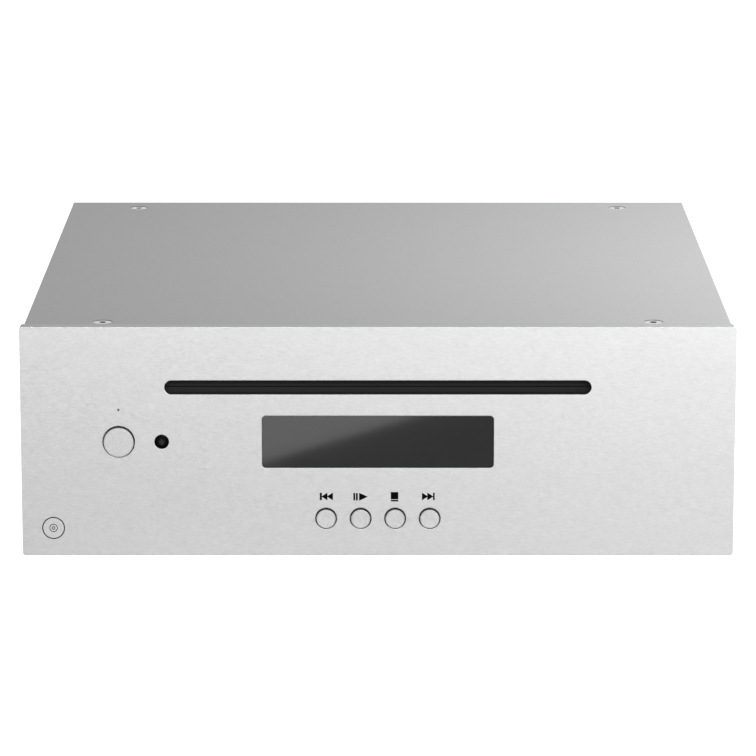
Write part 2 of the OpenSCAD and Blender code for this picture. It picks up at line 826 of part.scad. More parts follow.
// Each chip is given by its corner and its size
module converter_chips() {
    chip_h = 1.5;
    chips = [
        [[-58, 172], [10, 10]], [[-38, 172], [10, 10]], [[-14, 166], [10, 6]],
        [[-8, 84], [16, 16]], [[20, 60], [12, 8]]
    ];
    color("#161616") in_case() for (chip = chips)
        translate([chip[0].x, chip[0].y, board_top_z]) cube([chip[1].x, chip[1].y, chip_h]);
}

// ---- Loader frame ----

module side_plate_holes() {
    for (y = pin_y) round_bar([y, pin_z], [y, pin_z + lift_h], pin_r + fit);
}

module loader_frame() {
    lug = [137.5, 147];
    color("#a8aaac") in_case() difference() {
        union() {
            for (side = [-1, 1]) {
                slab_x(side > 0 ? plate_x : -plate_out, side > 0 ? plate_out : -plate_x) {
                    translate([frame_front, frame_low])
                        square([frame_rear - frame_front, frame_high - frame_low]);
                    translate([lug[0], frame_high - eps]) square([lug[1] - lug[0], 6]);
                }
                for (y = ear_y) block(
                    [side > 0 ? plate_x : -ear_x - ear_w / 2, y - ear_w / 2, frame_low],
                    [side > 0 ? ear_x + ear_w / 2 : -plate_x, y + ear_w / 2, frame_low + plate_t]);
                for (p = stud_path) {
                    a = side > 0 ? plate_x : -pin_out;
                    rod_along_x(pin_r, a, a + pin_out - plate_x, p.x, p.y);
                }
            }
            block([-plate_out, 26, frame_low], [plate_out, 26 + plate_t, 38]);
            block([-plate_out, frame_rear - plate_t, frame_low], [plate_out, frame_rear, frame_high]);
            rod_along_x(1, -pulley_x - 3.2, -plate_x, lift_gear_y, motor_z);
        }
        for (side = [-1, 1]) {
            a = side > 0 ? plate_x - 1 : -plate_out - 1;
            slab_x(a, a + plate_t + 2) side_plate_holes();
        }
        for (side = [-1, 1], y = ear_y)
            rod_along_z(ear_hole_r, frame_low - 1, frame_low + 3, side * ear_x, y);
        rod_along_x(hub_r + fit, plate_x - 1, plate_out + 1, arm_y, arm_z);
        rod_along_x(shaft_r + fit, -plate_out - 1, -plate_x + 1, arm_y, arm_z);
        rod_along_x(2.2, plate_x - 1, plate_out + 1, motor_y, motor_z);
        rod_along_x(2.2, -plate_out - 1, -plate_x + 1, lift_motor_y, motor_z);
        rod_along_x(1.25, -plate_out - 2, plate_out + 2, clamp_axis_y, clamp_axis_z);
    }
}

module at_ears() {
    for (side = [-1, 1], y = ear_y) translate([side * ear_x, y, 0]) children();
}

module loader_pillars() {
    color("#b0b0b0") in_case() at_ears() difference() {
        rod_along_z(pillar_r, floor_z, frame_low - grommet_h, 0, 0);
        rod_along_z(m3_hole_r, frame_low - grommet_h - 8, frame_low, 0, 0);
    }
}

// Rubber bushes that hold the loader's ears between two soft flanges
module isolation_grommets() {
    color("#242424") in_case() at_ears() rotate_extrude() polygon([
        [2.6, frame_low - grommet_h], [grommet_r, frame_low - grommet_h], [grommet_r, frame_low],
        [ear_hole_r, frame_low], [ear_hole_r, frame_low + plate_t], [grommet_r, frame_low + plate_t],
        [grommet_r, frame_low + plate_t + grommet_h], [2.6, frame_low + plate_t + grommet_h]
    ]);
}

module loader_screws() {
    top = frame_low + plate_t + grommet_h;
    color("#c4c4c4") in_case() at_ears() difference() {
        union() {
            rod_along_z(m3_r, frame_low - grommet_h - 6, top, 0, 0);
            rod_along_z(2.5, frame_low - grommet_h, top, 0, 0);
            rod_along_z(5, top, top + m3_head_h, 0, 0);
        }
        translate([0, 0, top + m3_head_h - 1]) cylinder(r = hex_r, h = 2, $fn = 6);
    }
}

// Plate above the disc, with two bars that the feed roller presses the disc against
module disc_guide() {
    bar_x = 50;
    bar_w = 20;
    color("#2a2a2a") in_case() difference() {
        union() {
            block([-plate_out, frame_front, frame_high], [plate_out, 136, frame_high + guide_t]);
            for (side = [-1, 1])
                block([side * bar_x - bar_w / 2, frame_front + 0.5, disc_over + 0.1],
                    [side * bar_x + bar_w / 2, frame_front + 9.5, frame_high + guide_t / 2]);
        }
        rod_along_z(clamp_r + 2, frame_high - 1, frame_high + 3, 0, disc_y);
        block([-13, disc_y - 16, frame_high - 1], [13, 125, frame_high + 3]);
    }
}

// ---- Motors and belt ----

// A can motor along X with its mounting face at x and its shaft out to x_end
module can_motor(x, x_end, y, z) {
    way = x_end > x ? 1 : -1;
    body_end = x - way * motor_l;
    rod_along_x(motor_r, min(x, body_end), max(x, body_end), y, z);
    boss_end = x + way * plate_t;
    rod_along_x(2, min(x, boss_end) - eps, max(x, boss_end) + eps, y, z);
}

module loading_motor() color("#c0c2c4") in_case() difference() {
    can_motor(plate_x, pulley_x, motor_y, motor_z);
    rod_along_x(motor_shaft_r + fit, plate_x - 6, plate_out + 1, motor_y, motor_z);
}

module lift_motor() color("#c0c2c4") in_case() difference() {
    can_motor(-plate_x, -pulley_x, lift_motor_y, motor_z);
    rod_along_x(motor_shaft_r + fit, -plate_out - 1, -plate_x + 6, lift_motor_y, motor_z);
}

module drive_belt() {
    gap = 0.03;
    a = [arm_y, arm_z];
    b = [motor_y, motor_z];
    color("#1a1a1a") in_case() slab_x(belt_x, belt_x + belt_w) difference() {
        belt_outline(a, pulley_r + gap + belt_t, b, small_pulley_r + gap + belt_t);
        belt_outline(a, pulley_r + gap, b, small_pulley_r + gap);
    }
}

// A grooved pulley along X between two flanges
module pulley(r, flange_r, y, z) {
    groove_end = pulley_x + flange_t + 1.3;
    rod_along_x(flange_r, pulley_x, pulley_x + flange_t, y, z);
    rod_along_x(r, pulley_x, groove_end + flange_t, y, z);
    rod_along_x(flange_r, groove_end, groove_end + flange_t, y, z);
}

module motor_pulley() color("#e0dccc") in_case() {
    pulley(small_pulley_r, 3.2, motor_y, motor_z);
    rod_along_x(motor_shaft_r, plate_x - 5, pulley_x + 1, motor_y, motor_z);
}

// ---- Cam slider and its gears ----

module cam_leg_outline() {
    leg = [slider_rear - slider_front, slider_high - slider_low];
    difference() {
        translate([slider_front, slider_low]) square(leg);
        for (y = pin_y) round_bar([y, pin_z], [y - cam_travel, pin_z + lift_h], pin_r + fit);
        for (p = stud_path) round_bar(p, [p.x - cam_travel, p.y], pin_r + fit);
    }
}

module cam_slider() {
    cross = [38, 46];
    color("#b8babc") in_case() {
        slab_x(slider_x, slider_x + slider_t) cam_leg_outline();
        slab_x(-slider_x - slider_t, -slider_x) {
            cam_leg_outline();
            translate([lift_gear_y, rack_z]) mirror([0, 1]) rack_outline(-10, 4, slider_low - rack_z + 1);
        }
        block([-slider_x - slider_t, slider_rear - slider_t, cross[0]],
            [slider_x + slider_t, slider_rear, cross[1]]);
    }
}

module lift_gear() {
    color("#e8e4d4") in_case() difference() {
        translate([0, lift_gear_y, motor_z]) {
            slab_x(-pulley_x - 2.5, -pulley_x) gear_outline(lift_teeth, gear_m);
            slab_x(-pulley_x - eps, -plate_out - 0.2) gear_outline(small_teeth, gear_m);
        }
        rod_along_x(1 + fit, -pulley_x - 3, -plate_x, lift_gear_y, motor_z);
    }
}

module lift_pinion() color("#d6b45a") in_case() {
    translate([0, lift_motor_y, motor_z])
        slab_x(-pulley_x - 2.5, -pulley_x) rotate(180 / small_teeth) gear_outline(small_teeth, gear_m);
    rod_along_x(motor_shaft_r, -pulley_x - 1, -plate_x + 5, lift_motor_y, motor_z);
}

// ---- Feed roller ----

module roller_arm() {
    color("#2e2e30") in_case() difference() {
        union() {
            for (side = [-1, 1])
                slab_x(side > 0 ? arm_x : -arm_x - arm_t, side > 0 ? arm_x + arm_t : -arm_x)
                    round_bar([roller_y, roller_z], [arm_y, arm_z], arm_r);
            block([-arm_x - arm_t / 2, arm_y - 3, arm_z - 3], [arm_x + arm_t / 2, arm_y + 3, arm_z - 1.5]);
            rod_along_x(shaft_r, arm_x, pulley_x + 3, arm_y, arm_z);
            rod_along_x(shaft_r, -plate_out - 0.3, -arm_x, arm_y, arm_z);
        }
        rod_along_x(shaft_r + fit, -plate_x, plate_x, roller_y, roller_z);
    }
}

module feed_roller() {
    inner = 5;
    outer = 58;
    color("#262626") in_case() for (side = [-1, 1]) difference() {
        translate([side * inner, roller_y, roller_z]) rotate([0, side * 90, 0])
            cylinder(r1 = roller_small_r, r2 = roller_big_r, h = outer - inner);
        rod_along_x(shaft_r + eps, -outer - 1, outer + 1, roller_y, roller_z);
    }
}

module roller_shaft() color("#c8c8c8") in_case()
    rod_along_x(shaft_r, -arm_x - 3, train_x + train_w, roller_y, roller_z);

module roller_gear() {
    color("#e8e4d4") in_case() difference() {
        translate([0, roller_y, roller_z]) slab_x(train_x, train_x + train_w)
            rotate(train_angle + 180 + 180 / roller_teeth) gear_outline(roller_teeth, train_m);
        rod_along_x(shaft_r + eps, train_x - 1, train_x + train_w + 1, roller_y, roller_z);
    }
}

// Gear, hub and belt pulley in one piece; the hub turns in the frame and round the arm's pin
module drive_pulley() {
    color("#e8e4d4") in_case() difference() {
        union() {
            translate([0, arm_y, arm_z]) slab_x(train_x, train_x + train_w)
                rotate(train_angle) gear_outline(drive_teeth, train_m);
            rod_along_x(hub_r, train_x + train_w - eps, pulley_x + eps, arm_y, arm_z);
            pulley(pulley_r, pulley_r + 1.6, arm_y, arm_z);
        }
        rod_along_x(shaft_r + fit, train_x - 1, pulley_x + 4, arm_y, arm_z);
    }
}

// ---- Traverse ----

module traverse_deck() {
    tab_t = 1.5;
    rod_tab_x = 3.5;
    rod_tab = [[rod_front, rod_front + 2], [rod_rear - 2, rod_rear]];
    color("#3a3c3e") in_case() difference() {
        union() {
            block([-deck_x, deck_front, deck_low], [deck_x, deck_rear, deck_top]);
            for (side = [-1, 1], y = pin_y) {
                tab_x = side > 0 ? deck_x : -deck_x - tab_t;
                block([tab_x - eps, y - 5, 37], [tab_x + tab_t + eps, y + 5, deck_top]);
                rod_along_x(pin_r, side > 0 ? deck_x : -pin_out, side > 0 ? pin_out : -deck_x, y, pin_z);
            }
            for (side = [-1, 1], tab = rod_tab)
                block([side * rod_x_at - rod_tab_x, tab[0], rod_z_at - 3],
                    [side * rod_x_at + rod_tab_x, tab[1], deck_top]);
            rod_along_z(1, 28.6, deck_top, sled_gear_x, lens_y + 2);
            rod_along_z(2.4, 36.3, deck_top, sled_gear_x, lens_y + 2);
        }
        block([-sled_x - 2, lens_y - sled_half - 1.5, deck_low - 1],
            [sled_x + 2, lens_y + sled_half + sled_travel + 3, deck_top + 1]);
        for (side = [-1, 1])
            rod_along_y(rod_r + eps, rod_front - 1, rod_rear + 1, side * rod_x_at, rod_z_at);
    }
}

module guide_rods() color("#d0d0d0") in_case()
    for (side = [-1, 1]) rod_along_y(rod_r, rod_front, rod_rear, side * rod_x_at, rod_z_at);

module spindle_motor() color("#b4b6b8") in_case() difference() {
    union() {
        rod_along_z(can_r, deck_top, deck_top + can_h, 0, disc_y);
        rod_along_z(3, deck_top, deck_top + can_h + 0.4, 0, disc_y);
    }
    rod_along_z(spindle_r + fit, deck_top + 0.6, deck_top + can_h + 1, 0, disc_y);
}

// Platform and centring cone, fixed on the spindle
module turntable() {
    color("#222426") in_case() translate([0, disc_y, 0]) {
        rotate_extrude() polygon([
            [0, deck_top + 0.8], [spindle_r, deck_top + 0.8], [spindle_r, turntable_z - 1.6],
            [turntable_r, turntable_z - 1.6], [turntable_r, turntable_z], [7.4, turntable_z],
            [7.4, turntable_z + 1.1], [6.2, turntable_z + hub_cone_h], [0, turntable_z + hub_cone_h]
        ]);
    }
}

module pickup_sled() {
    ear_end = rod_x_at + 3;
    back = lens_y + sled_half;
    front = lens_y - sled_half;
    first_tooth = -ceil(sled_travel / gear_pitch) - 3;
    last_tooth = 3;
    color("#4a4c50") in_case() difference() {
        union() {
            block([-sled_x, front, sled_low], [sled_x, back, sled_high]);
            block([-ear_end, front, rod_z_at - 2.5], [-sled_x + eps, back, rod_z_at + 2.3]);
            block([sled_x - eps, front, rod_z_at - 2.5], [ear_end - 1, back, rod_z_at + 2.3]);
            block([sled_x - eps, front, 33], [sled_rack_x - 1, back, sled_low + 0.6]);
            translate([sled_rack_x, lens_y + 2, 33]) linear_extrude(3)
                rotate(-90) translate([gear_pitch / 2, 0]) mirror([1, 0])
                    rack_outline(first_tooth, last_tooth, 3);
        }
        rod_along_y(rod_r + fit, front - 1, back + 1, -rod_x_at, rod_z_at);
        block([rod_x_at - rod_r - fit, front - 1, rod_z_at - rod_r - fit],
            [ear_end + 1, back + 1, rod_z_at + rod_r + fit]);
        translate([0, 0, sled_high - 2.6]) rod_along_z(5.4, 0, 4, 0, lens_y);
    }
}

// Objective lens in its round holder, free to move up and down for focus
module pickup_lens() {
    color("#7f9fb8") in_case() translate([0, lens_y, 0]) difference() {
        union() {
            rod_along_z(5, sled_high - 1.2, sled_high + 0.8, 0, 0);
            rod_along_z(2.4, sled_high, sled_high + 1.8, 0, 0);
        }
        translate([0, 0, sled_high + 1.8 + 5.4]) sphere(r = 5.8);
    }
}

module sled_motor() color("#c0c2c4") in_case() difference() {
    rod_along_z(9, deck_low - 7, deck_low, sled_motor_x, lens_y + 2);
    rod_along_z(motor_shaft_r + fit, deck_low - 8, deck_low - 3, sled_motor_x, lens_y + 2);
}

module sled_pinion() color("#d6b45a") in_case() translate([sled_motor_x, lens_y + 2, 0]) {
    translate([0, 0, 29.5]) linear_extrude(2.5) rotate(180 / small_teeth) gear_outline(small_teeth, gear_m);
    rod_along_z(motor_shaft_r, 31, deck_low - 3.5, 0, 0);
}

module sled_gear() color("#e8e4d4") in_case() translate([sled_gear_x, lens_y + 2, 0]) difference() {
    union() {
        translate([0, 0, 29.5]) linear_extrude(2.5) gear_outline(wheel_teeth, gear_m);
        translate([0, 0, 32 - eps]) linear_extrude(4) gear_outline(sled_teeth, gear_m);
    }
    rod_along_z(1 + fit, 29, 37, 0, 0);
}

// ---- Clamp ----

module clamp_arm() {
    low = clamp_axis_z - clamp_arm_t / 2;
    beam_x = plate_x - 0.4;
    color("#b0b2b4") in_case() difference() {
        union() {
            translate([0, 0, low]) linear_extrude(clamp_arm_t) {
                translate([0, disc_y]) circle(12);
                translate([-9, disc_y]) square([18, clamp_axis_y - disc_y]);
                polygon([[-9, 118], [9, 118], [50, 140], [-50, 140]]);
            }
            block([-beam_x, clamp_axis_y - 2.5, low - 0.4],
                [beam_x, clamp_axis_y + 2.5, low + clamp_arm_t + 0.4]);
            rod_along_x(1.2, -plate_out, plate_out, clamp_axis_y, clamp_axis_z);
        }
        rod_along_z(6.3, low - 1, low + clamp_arm_t + 1, 0, disc_y);
    }
}

// Puck that hangs loose in the arm and turns with the disc
module disc_clamp() {
    arm_top = clamp_axis_z + clamp_arm_t / 2;
    color("#303234") in_case() translate([0, disc_y, 0]) rotate_extrude() polygon([
        [0, clamp_low + 1.4], [6.5, clamp_low + 1.4], [8, clamp_low], [clamp_r, clamp_low],
        [clamp_r, clamp_low + 1.8], [6, clamp_low + 1.8], [6, arm_top + fit], [9, arm_top + fit],
        [9, arm_top + 1], [0, arm_top + 1]
    ]);
}

front_panel();
top_cover();
chassis_tray();
rear_panel();
cover_screws();
case_screws();
feet();
slot_liner();
dust_lips();
display_window();
display_module();
power_button();
previous_button();
play_pause_button();
stop_button();
next_button();
ir_window();
light_pipe();
front_board();
button_switches();
ir_receiver();
main_board();
servo_board();
board_screws();
board_connectors();
ribbon_cables();
socket_housing();
socket_sleeves();
socket_inserts();
power_inlet();
filter_capacitors();
converter_chips();
loader_frame();
loader_pillars();
isolation_grommets();
loader_screws();
disc_guide();
loading_motor();
lift_motor();
drive_belt();
cam_slider();
lift_gear();
lift_pinion();
roller_arm();
feed_roller();
roller_shaft();
roller_gear();
drive_pulley();
motor_pulley();
traverse_deck();
guide_rods();
spindle_motor();
sled_motor();
turntable();
clamp_arm();
disc_clamp();
pickup_sled();
pickup_lens();
sled_gear();
sled_pinion();
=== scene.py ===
"""Looks of the slot-loading CD player: materials, edge finish, printed signs, studio and camera."""

import math

import bmesh
import bpy
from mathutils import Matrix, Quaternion, Vector


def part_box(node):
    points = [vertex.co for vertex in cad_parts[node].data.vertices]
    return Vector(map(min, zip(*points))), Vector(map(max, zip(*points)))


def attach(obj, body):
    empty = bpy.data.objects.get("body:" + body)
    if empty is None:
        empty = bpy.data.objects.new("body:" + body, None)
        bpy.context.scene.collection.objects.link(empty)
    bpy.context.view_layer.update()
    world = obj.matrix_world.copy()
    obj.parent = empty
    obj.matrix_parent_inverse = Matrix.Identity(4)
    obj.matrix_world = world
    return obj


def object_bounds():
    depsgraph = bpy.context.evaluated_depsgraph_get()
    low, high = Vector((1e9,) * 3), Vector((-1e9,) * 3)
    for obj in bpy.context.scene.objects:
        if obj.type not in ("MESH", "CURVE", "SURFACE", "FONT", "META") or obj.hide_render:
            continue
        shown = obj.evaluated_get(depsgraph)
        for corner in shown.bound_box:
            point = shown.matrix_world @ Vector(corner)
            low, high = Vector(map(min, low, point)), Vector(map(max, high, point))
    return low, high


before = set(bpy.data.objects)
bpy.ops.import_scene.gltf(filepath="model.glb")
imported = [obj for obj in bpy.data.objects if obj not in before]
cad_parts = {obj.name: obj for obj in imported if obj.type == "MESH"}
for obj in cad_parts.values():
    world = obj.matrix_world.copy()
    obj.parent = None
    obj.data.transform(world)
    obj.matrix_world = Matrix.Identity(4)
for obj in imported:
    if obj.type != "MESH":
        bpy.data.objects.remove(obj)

MM = 0.001
cad_low, cad_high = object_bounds()
panel_low, panel_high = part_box("front_panel")


# ---- Camera ----

CAMERA_BACK = 1.20115
CAMERA_UP = 0.31118
CAMERA_SIDE = 0.00003
CAMERA_PITCH = 12.151
CAMERA_LENS = 203.38


def make_camera():
    data = bpy.data.cameras.new("camera")
    data.sensor_width = 36
    data.lens = CAMERA_LENS
    data.clip_start = 0.01
    data.clip_end = 60
    camera = bpy.data.objects.new("camera", data)
    bpy.context.scene.collection.objects.link(camera)
    middle = (panel_low.x + panel_high.x) / 2
    camera.location = (middle + CAMERA_SIDE, panel_low.y - CAMERA_BACK, panel_low.z + CAMERA_UP)
    camera.rotation_euler = (math.radians(90 - CAMERA_PITCH), 0, 0)
    bpy.context.scene.camera = camera


# ---- Materials ----


class Finish:
    """One material's node tree, with short calls to add nodes and link them."""

    def __init__(self, name):
        self.material = bpy.data.materials.new(name)
        self.material.use_nodes = True
        self.tree = self.material.node_tree
        self.surface = self.tree.nodes["Principled BSDF"]
        self.place = self.add("TexCoord").outputs["Object"]

    def add(self, kind, inputs=None, **settings):
        node = self.tree.nodes.new("ShaderNode" + kind)
        for key, value in settings.items():
            setattr(node, key, value)
        for key, value in (inputs or {}).items():
            self.feed(node.inputs[key], value)
        return node

    def feed(self, socket, value):
        if isinstance(value, bpy.types.NodeSocket):
            self.tree.links.new(value, socket)
        else:
            socket.default_value = value

    def set(self, **inputs):
        for key, value in inputs.items():
            self.feed(self.surface.inputs[key.replace("_", " ")], value)

    def math(self, operation, a, b=0.0, c=0.0):
        return self.add("Math", {0: a, 1: b, 2: c}, operation=operation).outputs[0]

    def stretch(self, scale, turn=(0, 0, 0)):
        """Object coordinates scaled along each axis, so that one unit is one grain."""
        node = self.add("Mapping", {"Vector": self.place, "Scale": scale, "Rotation": turn})
        return node.outputs[0]

    def noise(self, scale, detail=3.0, roughness=0.5, distortion=0.0, turn=(0, 0, 0)):
        inputs = {
            "Vector": self.stretch(scale, turn),
            "Scale": 1.0,
            "Detail": detail,
            "Roughness": roughness,
            "Distortion": distortion,
        }
        return self.add("TexNoise", inputs).outputs["Fac"]

    def remap(self, value, low, high, new_low, new_high):
        inputs = {"Value": value, 1: low, 2: high, 3: new_low, 4: new_high}
        return self.add("MapRange", inputs).outputs["Result"]

    def mix(self, factor, a, b):
        node = self.add("Mix", data_type="RGBA")
        self.feed(node.inputs["Factor"], factor)
        self.feed(node.inputs["A"], a)
        self.feed(node.inputs["B"], b)
        return node.outputs["Result"]

    def normal(self):
        return self.add("NewGeometry").outputs["Normal"]

    def rounded(self, radius):
        return self.add("Bevel", {"Radius": radius}, samples=4).outputs[0]

    def edges(self, radius):
        """0 on flat faces, towards 1 along edges."""
        rounded = self.rounded(radius)
        dot = self.add("VectorMath", {0: rounded, 1: self.normal()}, operation="DOT_PRODUCT")
        return self.remap(dot.outputs["Value"], 1.0, 0.86, 0.0, 1.0)

    def along(self, axis):
        """How far a face's own direction lies along an axis, from 0 to 1."""
        part = self.add("SeparateXYZ", {0: self.normal()}).outputs[axis]
        return self.math("ABSOLUTE", part)

    def reach(self):
        """Distance from the piece's middle as seen from the front, as a share of its width."""
        place = self.add("TexCoord").outputs["Generated"]
        from_middle = self.add("VectorMath", {0: place, 1: (0.5, 0.0, 0.5)}, operation="SUBTRACT")
        flat = self.add("VectorMath", {0: from_middle.outputs[0], 1: (1, 0, 1)}, operation="MULTIPLY")
        return self.add("VectorMath", {0: flat.outputs[0]}, operation="LENGTH").outputs["Value"]

    def inside_border(self, margin_x, margin_z):
        """1 away from the piece's outer border, given as shares of its width and height."""
        parts = self.add("SeparateXYZ", {0: self.add("TexCoord").outputs["Generated"]})
        masks = []
        for axis, margin in (("X", margin_x), ("Z", margin_z)):
            from_middle = self.math("ABSOLUTE", self.math("SUBTRACT", parts.outputs[axis], 0.5))
            masks.append(self.math("LESS_THAN", from_middle, 0.5 - margin))
        return self.math("MULTIPLY", *masks)

    def cover_base(self, mask, colour):
        """Lays another colour over the base colour where the mask is 1."""
        base = self.surface.inputs["Base Color"].links[0].from_socket
        self.set(Base_Color=self.mix(mask, base, colour))

    def bump(self, height, depth, radius):
        inputs = {"Height": height, "Distance": depth, "Strength": 1.0, "Normal": self.rounded(radius)}
        self.set(Normal=self.add("Bump", inputs).outputs[0])


def grey(value):
    return (value, value, value, 1)


def tint(colour, factor):
    return tuple(min(1.0, c * factor) for c in colour[:3]) + (1,)


def plain_finish(
    name,
    colour,
    metallic=0.0,
    rough=0.5,
    spread=0.12,
    grain=(1.0, 1.0, 1.0),
    size=0.5 * MM,
    contrast=0.08,
    depth=0.004 * MM,
    radius=0.15 * MM,
    edge_wear_and_highlight=0.25,
    specular=0.5,
    cloud=0.3,
):
    """A finish with fine grain, broad unevenness and lighter edges, which stand for edge wear and a painted
    highlight.
    """
    f = Finish(name)
    scale = tuple(g / size for g in grain)
    fine = f.noise(scale, detail=4.0, roughness=0.6)
    broad = f.noise(tuple(s / 23 for s in scale), detail=2.0)
    both = f.math("MULTIPLY_ADD", fine, 1 - cloud, f.math("MULTIPLY", broad, cloud))
    body = f.mix(
        f.remap(both, 0.3, 0.7, 0.0, 1.0), tint(colour, 1 - contrast), tint(colour, 1 + contrast)
    )
    # Edges painted lighter: partly edge wear, partly a painted highlight.
    edge = f.math("MULTIPLY", f.edges(radius * 1.5), edge_wear_and_highlight)
    f.set(
        Base_Color=f.mix(edge, body, tint(colour, 1.35)),
        Metallic=metallic,
        Roughness=f.remap(both, 0.3, 0.7, rough - spread / 2, rough + spread / 2),
        Specular_IOR_Level=specular,
    )
    f.bump(fine, depth, radius)
    return f


SILVER = (0.86, 0.86, 0.865)
DULL_SILVER = (0.62, 0.62, 0.625)
PAINTED_SHADE = (0.2, 0.2, 0.2)
PAINTED_LIGHT_ON_HOLES = (0.55, 0.55, 0.55)
TRANSPORT_ROW_TOP = 18 * MM
SOCKET_SHADE_DEPTH = 0.05 * MM


def brushed_panel():
    """Silver anodised aluminium with short brush strokes that lie mostly level.

    The rim is smooth. The walls of the holes are painted dark as painted shade, except the upward-facing
    walls low round the transport buttons, which are painted lighter as painted light from above. Edges are
    painted near-white as a painted highlight, and the downward-facing bottom edge dark as painted shade.
    """
    f = Finish("front_panel")
    strokes = f.noise((800, 800, 3400), detail=5.0, roughness=0.68, distortion=0.4, turn=(0, 0.10, 0))
    cross = f.noise((1150, 1150, 2700), detail=3.0, roughness=0.6, turn=(0, -0.45, 0))
    patches = f.noise((34, 34, 58), detail=3.0, roughness=0.55)
    both = f.math("MULTIPLY_ADD", strokes, 0.65, f.math("MULTIPLY", cross, 0.35))
    shade = f.math("MULTIPLY_ADD", patches, 0.08, f.math("MULTIPLY", both, 0.92))
    brushed = f.mix(f.remap(shade, 0.3, 0.7, 0.0, 1.0), tint(SILVER, 0.92), tint(SILVER, 1.07))
    # Painted shade: the walls of the holes are painted dark. Painted light: their upward-facing walls low
    # round the transport buttons are painted lighter.
    height = f.add("SeparateXYZ", {0: f.place}).outputs["Z"]
    low_down = f.math("LESS_THAN", height, panel_low.z + TRANSPORT_ROW_TOP)
    facing_up = f.math("GREATER_THAN", f.add("SeparateXYZ", {0: f.normal()}).outputs["Z"], 0.5)
    holes = f.mix(f.math("MULTIPLY", low_down, facing_up), tint(PAINTED_SHADE, 1.0), tint(PAINTED_LIGHT_ON_HOLES, 1.0))
    walls = f.mix(f.inside_border(0.01, 0.03), tint(SILVER, 1.0), holes)
    body = f.mix(f.remap(f.along("Y"), 0.4, 0.6, 1.0, 0.0), brushed, walls)
    # Painted highlight: the edges are painted near-white.
    edge = f.math("MULTIPLY", f.edges(0.3 * MM), 0.35)
    # Painted shade: the downward-facing bottom edge is painted dark.
    rounded = f.add("SeparateXYZ", {0: f.rounded(0.35 * MM)}).outputs["Z"]
    under = f.remap(rounded, -0.1, -0.5, 0.0, 0.8)
    f.set(
        Base_Color=f.mix(under, f.mix(edge, body, grey(0.98)), tint(PAINTED_SHADE, 1.0)),
        Metallic=0.88,
        Roughness=f.remap(both, 0.3, 0.7, 0.365, 0.495),
    )
    f.bump(both, 0.004 * MM, 0.22 * MM)
    return f


def satin_cover():
    """Smooth satin coat with a very fine grain, and its sloped faces, the countersinks round the screws among
    them, painted near-black as painted shade.
    """
    f = plain_finish(
        "top_cover",
        DULL_SILVER,
        metallic=0.3,
        rough=0.5,
        spread=0.06,
        grain=(1.0, 0.6, 1.0),
        size=0.35 * MM,
        contrast=0.09,
        depth=0.0018 * MM,
        radius=0.4 * MM,
        edge_wear_and_highlight=0.3,
        cloud=0.06,
    )
    # Painted shade: sloped faces, such as the countersinks round the screws, are painted near-black.
    level = f.along("Z")
    shaded_slopes = f.math("MULTIPLY", f.math("GREATER_THAN", level, 0.4), f.math("LESS_THAN", level, 0.9))
    f.cover_base(shaded_slopes, grey(0.03))
    return f


def screw_finish():
    """Bright plated heads, with everything below the heads' flat tops, the sockets among it, painted dark as
    painted shade.
    """
    f = plain_finish(
        "cover_screws", (0.88, 0.88, 0.88), metallic=1.0, rough=0.34, spread=0.1, grain=(1.0, 0.25, 1.0),
        size=0.3 * MM, contrast=0.05, depth=0.002 * MM, radius=0.08 * MM,
    )
    head_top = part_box("cover_screws")[1].z
    # Painted shade: all below the heads' flat tops, the sockets among it, is painted dark.
    height = f.add("SeparateXYZ", {0: f.place}).outputs["Z"]
    f.cover_base(f.math("LESS_THAN", height, head_top - SOCKET_SHADE_DEPTH), grey(0.02))
    return f


def turned_button(name):
    """Anodised metal turned on its face, with fine rings round its middle, its side wall painted dark as
    painted shade, and the face's edges painted near-white as a painted highlight.
    """
    f = Finish(name)
    rings = f.math("SINE", f.math("MULTIPLY", f.reach(), 260.0))
    fine = f.noise((2200, 2200, 2200), detail=3.0)
    both = f.math("MULTIPLY_ADD", rings, 0.12, fine)
    face = f.mix(f.remap(both, 0.3, 0.7, 0.0, 1.0), tint(SILVER, 0.95), tint(SILVER, 1.07))
    # Painted shade: the side wall is painted dark.
    body = f.mix(f.remap(f.along("Y"), 0.2, 0.5, 1.0, 0.0), face, tint(PAINTED_SHADE, 1.0))
    # Painted highlight: the face's edges are painted near-white.
    edge = f.math("MULTIPLY", f.math("MULTIPLY", f.edges(0.15 * MM), f.along("Y")), 0.5)
    f.set(
        Base_Color=f.mix(edge, body, grey(0.98)),
        Metallic=0.88,
        Roughness=f.remap(both, 0.3, 0.7, 0.36, 0.46),
    )
    f.bump(both, 0.0015 * MM, 0.1 * MM)
    return f


def smoked_window():
    """Black gloss acrylic with a few hairline marks in its gloss."""
    f = Finish("display_window")
    cloud = f.noise((120, 120, 120), detail=2.0)
    lines = f.noise((90, 90, 4200), detail=2.0, turn=(0, 0.3, 0))
    f.set(
        Base_Color=f.mix(cloud, grey(0.0135), grey(0.0175)),
        Roughness=f.remap(lines, 0.3, 0.75, 0.09, 0.12),
        IOR=1.49,
        Normal=f.rounded(0.12 * MM),
    )
    return f


def dome_window():
    """Dark moulded lens, painted lighter in the middle as a painted highlight."""
    f = Finish("ir_window")
    peel = f.noise((700, 700, 700), detail=2.0)
    reach = f.reach()
    # Painted highlight: the middle of the dome is painted lighter than its edge.
    body = f.mix(f.remap(reach, 0.07, 0.2, 0.0, 1.0), grey(0.034), grey(0.001))
    f.set(
        Base_Color=f.mix(f.math("MULTIPLY", peel, 0.1), body, grey(0.02)),
        Roughness=f.remap(peel, 0.3, 0.7, 0.38, 0.46),
        Specular_IOR_Level=0.03,
    )
    f.bump(peel, 0.002 * MM, 0.05 * MM)
    return f


